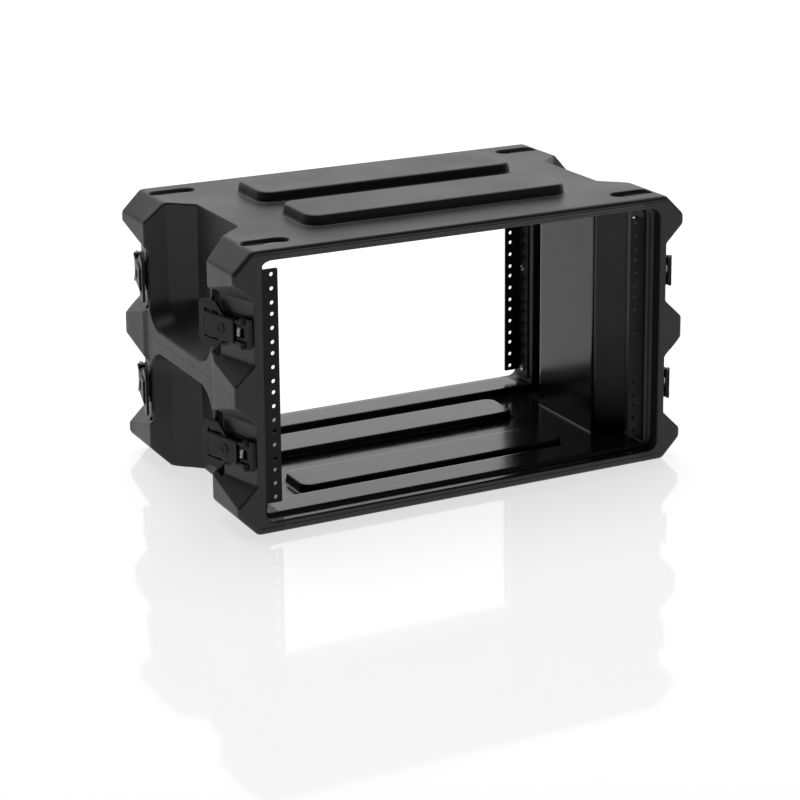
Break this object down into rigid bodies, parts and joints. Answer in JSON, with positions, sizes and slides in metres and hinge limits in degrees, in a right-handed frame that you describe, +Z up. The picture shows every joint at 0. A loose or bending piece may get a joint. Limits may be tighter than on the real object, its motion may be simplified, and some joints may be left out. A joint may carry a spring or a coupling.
{
  "type": "equipment rack case",
  "caption": "Moulded black rack case sleeve for professional audio gear, open front and rear, with steel rack rails inside and draw latches on pocketed corners.",
  "frame": {"origin": "middle of the footprint, on the ground", "axes": "+X to the right seen from the front, across the case; +Y from the front rack opening to the rear one; +Z up"},
  "size_m": [0.5858, 0.3378, 0.335],
  "materials": {
    "case_plastic": "satin moulded polyethylene with a fine pebbled texture",
    "rail_black": "satin black powder coat on steel",
    "screw_steel": "zinc-plated steel",
    "insert_brass": "turned brass",
    "rivet_steel": "black coated steel",
    "latch_black": "satin black coated steel",
    "pin_steel": "plain steel pin",
    "spring_steel": "bright spring wire"
  },
  "bodies": {
    "case": {"case_shell": "case_plastic", "latch_front_left_lower_base": "latch_black", "latch_front_left_lower_hinge_pins": "pin_steel", "latch_front_left_upper_base": "latch_black", "latch_front_left_upper_hinge_pins": "pin_steel", "latch_front_right_lower_base": "latch_black", "latch_front_right_lower_hinge_pins": "pin_steel", "latch_front_right_upper_base": "latch_black", "latch_front_right_upper_hinge_pins": "pin_steel", "latch_rear_left_lower_base": "latch_black", "latch_rear_left_lower_hinge_pins": "pin_steel", "latch_rear_left_upper_base": "latch_black", "latch_rear_left_upper_hinge_pins": "pin_steel", "latch_rear_right_lower_base": "latch_black", "latch_rear_right_lower_hinge_pins": "pin_steel", "latch_rear_right_upper_base": "latch_black", "latch_rear_right_upper_hinge_pins": "pin_steel", "latch_rivets": "rivet_steel", "rack_rail_front_left": "rail_black", "rack_rail_front_right": "rail_black", "rack_rail_rear_left": "rail_black", "rack_rail_rear_right": "rail_black", "rail_inserts": "insert_brass", "rail_screws": "screw_steel"},
    "latch_front_left_upper_handle": {"latch_front_left_upper_handle": "latch_black", "latch_front_left_upper_claw_pin": "pin_steel", "latch_front_left_upper_spring": "spring_steel"},
    "latch_front_left_upper_claw": {"latch_front_left_upper_claw": "latch_black"},
    "latch_front_left_lower_handle": {"latch_front_left_lower_handle": "latch_black", "latch_front_left_lower_claw_pin": "pin_steel", "latch_front_left_lower_spring": "spring_steel"},
    "latch_front_left_lower_claw": {"latch_front_left_lower_claw": "latch_black"},
    "latch_rear_left_upper_handle": {"latch_rear_left_upper_handle": "latch_black", "latch_rear_left_upper_claw_pin": "pin_steel", "latch_rear_left_upper_spring": "spring_steel"},
    "latch_rear_left_upper_claw": {"latch_rear_left_upper_claw": "latch_black"},
    "latch_rear_left_lower_handle": {"latch_rear_left_lower_handle": "latch_black", "latch_rear_left_lower_claw_pin": "pin_steel", "latch_rear_left_lower_spring": "spring_steel"},
    "latch_rear_left_lower_claw": {"latch_rear_left_lower_claw": "latch_black"},
    "latch_front_right_upper_handle": {"latch_front_right_upper_handle": "latch_black", "latch_front_right_upper_claw_pin": "pin_steel", "latch_front_right_upper_spring": "spring_steel"},
    "latch_front_right_upper_claw": {"latch_front_right_upper_claw": "latch_black"},
    "latch_front_right_lower_handle": {"latch_front_right_lower_handle": "latch_black", "latch_front_right_lower_claw_pin": "pin_steel", "latch_front_right_lower_spring": "spring_steel"},
    "latch_front_right_lower_claw": {"latch_front_right_lower_claw": "latch_black"},
    "latch_rear_right_upper_handle": {"latch_rear_right_upper_handle": "latch_black", "latch_rear_right_upper_claw_pin": "pin_steel", "latch_rear_right_upper_spring": "spring_steel"},
    "latch_rear_right_upper_claw": {"latch_rear_right_upper_claw": "latch_black"},
    "latch_rear_right_lower_handle": {"latch_rear_right_lower_handle": "latch_black", "latch_rear_right_lower_claw_pin": "pin_steel", "latch_rear_right_lower_spring": "spring_steel"},
    "latch_rear_right_lower_claw": {"latch_rear_right_lower_claw": "latch_black"}
  },
  "joints": [
    {"name": "latch_front_left_upper_lift", "type": "hinge", "parent": "case", "child": "latch_front_left_upper_handle", "pos_m": [-0.27127, -0.15845, 0.23], "axis": [0, 0, 1], "range_deg": [0, 100]},
    {"name": "latch_front_left_upper_claw_swing", "type": "hinge", "parent": "latch_front_left_upper_handle", "child": "latch_front_left_upper_claw", "pos_m": [-0.27289, -0.15008, 0.23], "axis": [0, 0, 1], "range_deg": [-100, 0]},
    {"name": "latch_front_left_lower_lift", "type": "hinge", "parent": "case", "child": "latch_front_left_lower_handle", "pos_m": [-0.27127, -0.15845, 0.092], "axis": [0, 0, 1], "range_deg": [0, 100]},
    {"name": "latch_front_left_lower_claw_swing", "type": "hinge", "parent": "latch_front_left_lower_handle", "child": "latch_front_left_lower_claw", "pos_m": [-0.27289, -0.15008, 0.092], "axis": [0, 0, 1], "range_deg": [-100, 0]},
    {"name": "latch_rear_left_upper_lift", "type": "hinge", "parent": "case", "child": "latch_rear_left_upper_handle", "pos_m": [-0.27127, 0.15845, 0.23], "axis": [0, 0, -1], "range_deg": [0, 100]},
    {"name": "latch_rear_left_upper_claw_swing", "type": "hinge", "parent": "latch_rear_left_upper_handle", "child": "latch_rear_left_upper_claw", "pos_m": [-0.27289, 0.15008, 0.23], "axis": [0, 0, -1], "range_deg": [-100, 0]},
    {"name": "latch_rear_left_lower_lift", "type": "hinge", "parent": "case", "child": "latch_rear_left_lower_handle", "pos_m": [-0.27127, 0.15845, 0.092], "axis": [0, 0, -1], "range_deg": [0, 100]},
    {"name": "latch_rear_left_lower_claw_swing", "type": "hinge", "parent": "latch_rear_left_lower_handle", "child": "latch_rear_left_lower_claw", "pos_m": [-0.27289, 0.15008, 0.092], "axis": [0, 0, -1], "range_deg": [-100, 0]},
    {"name": "latch_front_right_upper_lift", "type": "hinge", "parent": "case", "child": "latch_front_right_upper_handle", "pos_m": [0.27127, -0.15845, 0.23], "axis": [0, 0, -1], "range_deg": [0, 100]},
    {"name": "latch_front_right_upper_claw_swing", "type": "hinge", "parent": "latch_front_right_upper_handle", "child": "latch_front_right_upper_claw", "pos_m": [0.27289, -0.15008, 0.23], "axis": [0, 0, -1], "range_deg": [-100, 0]},
    {"name": "latch_front_right_lower_lift", "type": "hinge", "parent": "case", "child": "latch_front_right_lower_handle", "pos_m": [0.27127, -0.15845, 0.092], "axis": [0, 0, -1], "range_deg": [0, 100]},
    {"name": "latch_front_right_lower_claw_swing", "type": "hinge", "parent": "latch_front_right_lower_handle", "child": "latch_front_right_lower_claw", "pos_m": [0.27289, -0.15008, 0.092], "axis": [0, 0, -1], "range_deg": [-100, 0]},
    {"name": "latch_rear_right_upper_lift", "type": "hinge", "parent": "case", "child": "latch_rear_right_upper_handle", "pos_m": [0.27127, 0.15845, 0.23], "axis": [0, 0, 1], "range_deg": [0, 100]},
    {"name": "latch_rear_right_upper_claw_swing", "type": "hinge", "parent": "latch_rear_right_upper_handle", "child": "latch_rear_right_upper_claw", "pos_m": [0.27289, 0.15008, 0.23], "axis": [0, 0, 1], "range_deg": [-100, 0]},
    {"name": "latch_rear_right_lower_lift", "type": "hinge", "parent": "case", "child": "latch_rear_right_lower_handle", "pos_m": [0.27127, 0.15845, 0.092], "axis": [0, 0, 1], "range_deg": [0, 100]},
    {"name": "latch_rear_right_lower_claw_swing", "type": "hinge", "parent": "latch_rear_right_lower_handle", "child": "latch_rear_right_lower_claw", "pos_m": [0.27289, 0.15008, 0.092], "axis": [0, 0, 1], "range_deg": [-100, 0]}
  ],
  "couplings": [
    {"joint": "latch_front_left_upper_claw_swing", "follows": "latch_front_left_upper_lift", "ratio": -1},
    {"joint": "latch_front_left_lower_claw_swing", "follows": "latch_front_left_lower_lift", "ratio": -1},
    {"joint": "latch_rear_left_upper_claw_swing", "follows": "latch_rear_left_upper_lift", "ratio": -1},
    {"joint": "latch_rear_left_lower_claw_swing", "follows": "latch_rear_left_lower_lift", "ratio": -1},
    {"joint": "latch_front_right_upper_claw_swing", "follows": "latch_front_right_upper_lift", "ratio": -1},
    {"joint": "latch_front_right_lower_claw_swing", "follows": "latch_front_right_lower_lift", "ratio": -1},
    {"joint": "latch_rear_right_upper_claw_swing", "follows": "latch_rear_right_upper_lift", "ratio": -1},
    {"joint": "latch_rear_right_lower_claw_swing", "follows": "latch_rear_right_lower_lift", "ratio": -1}
  ]
}
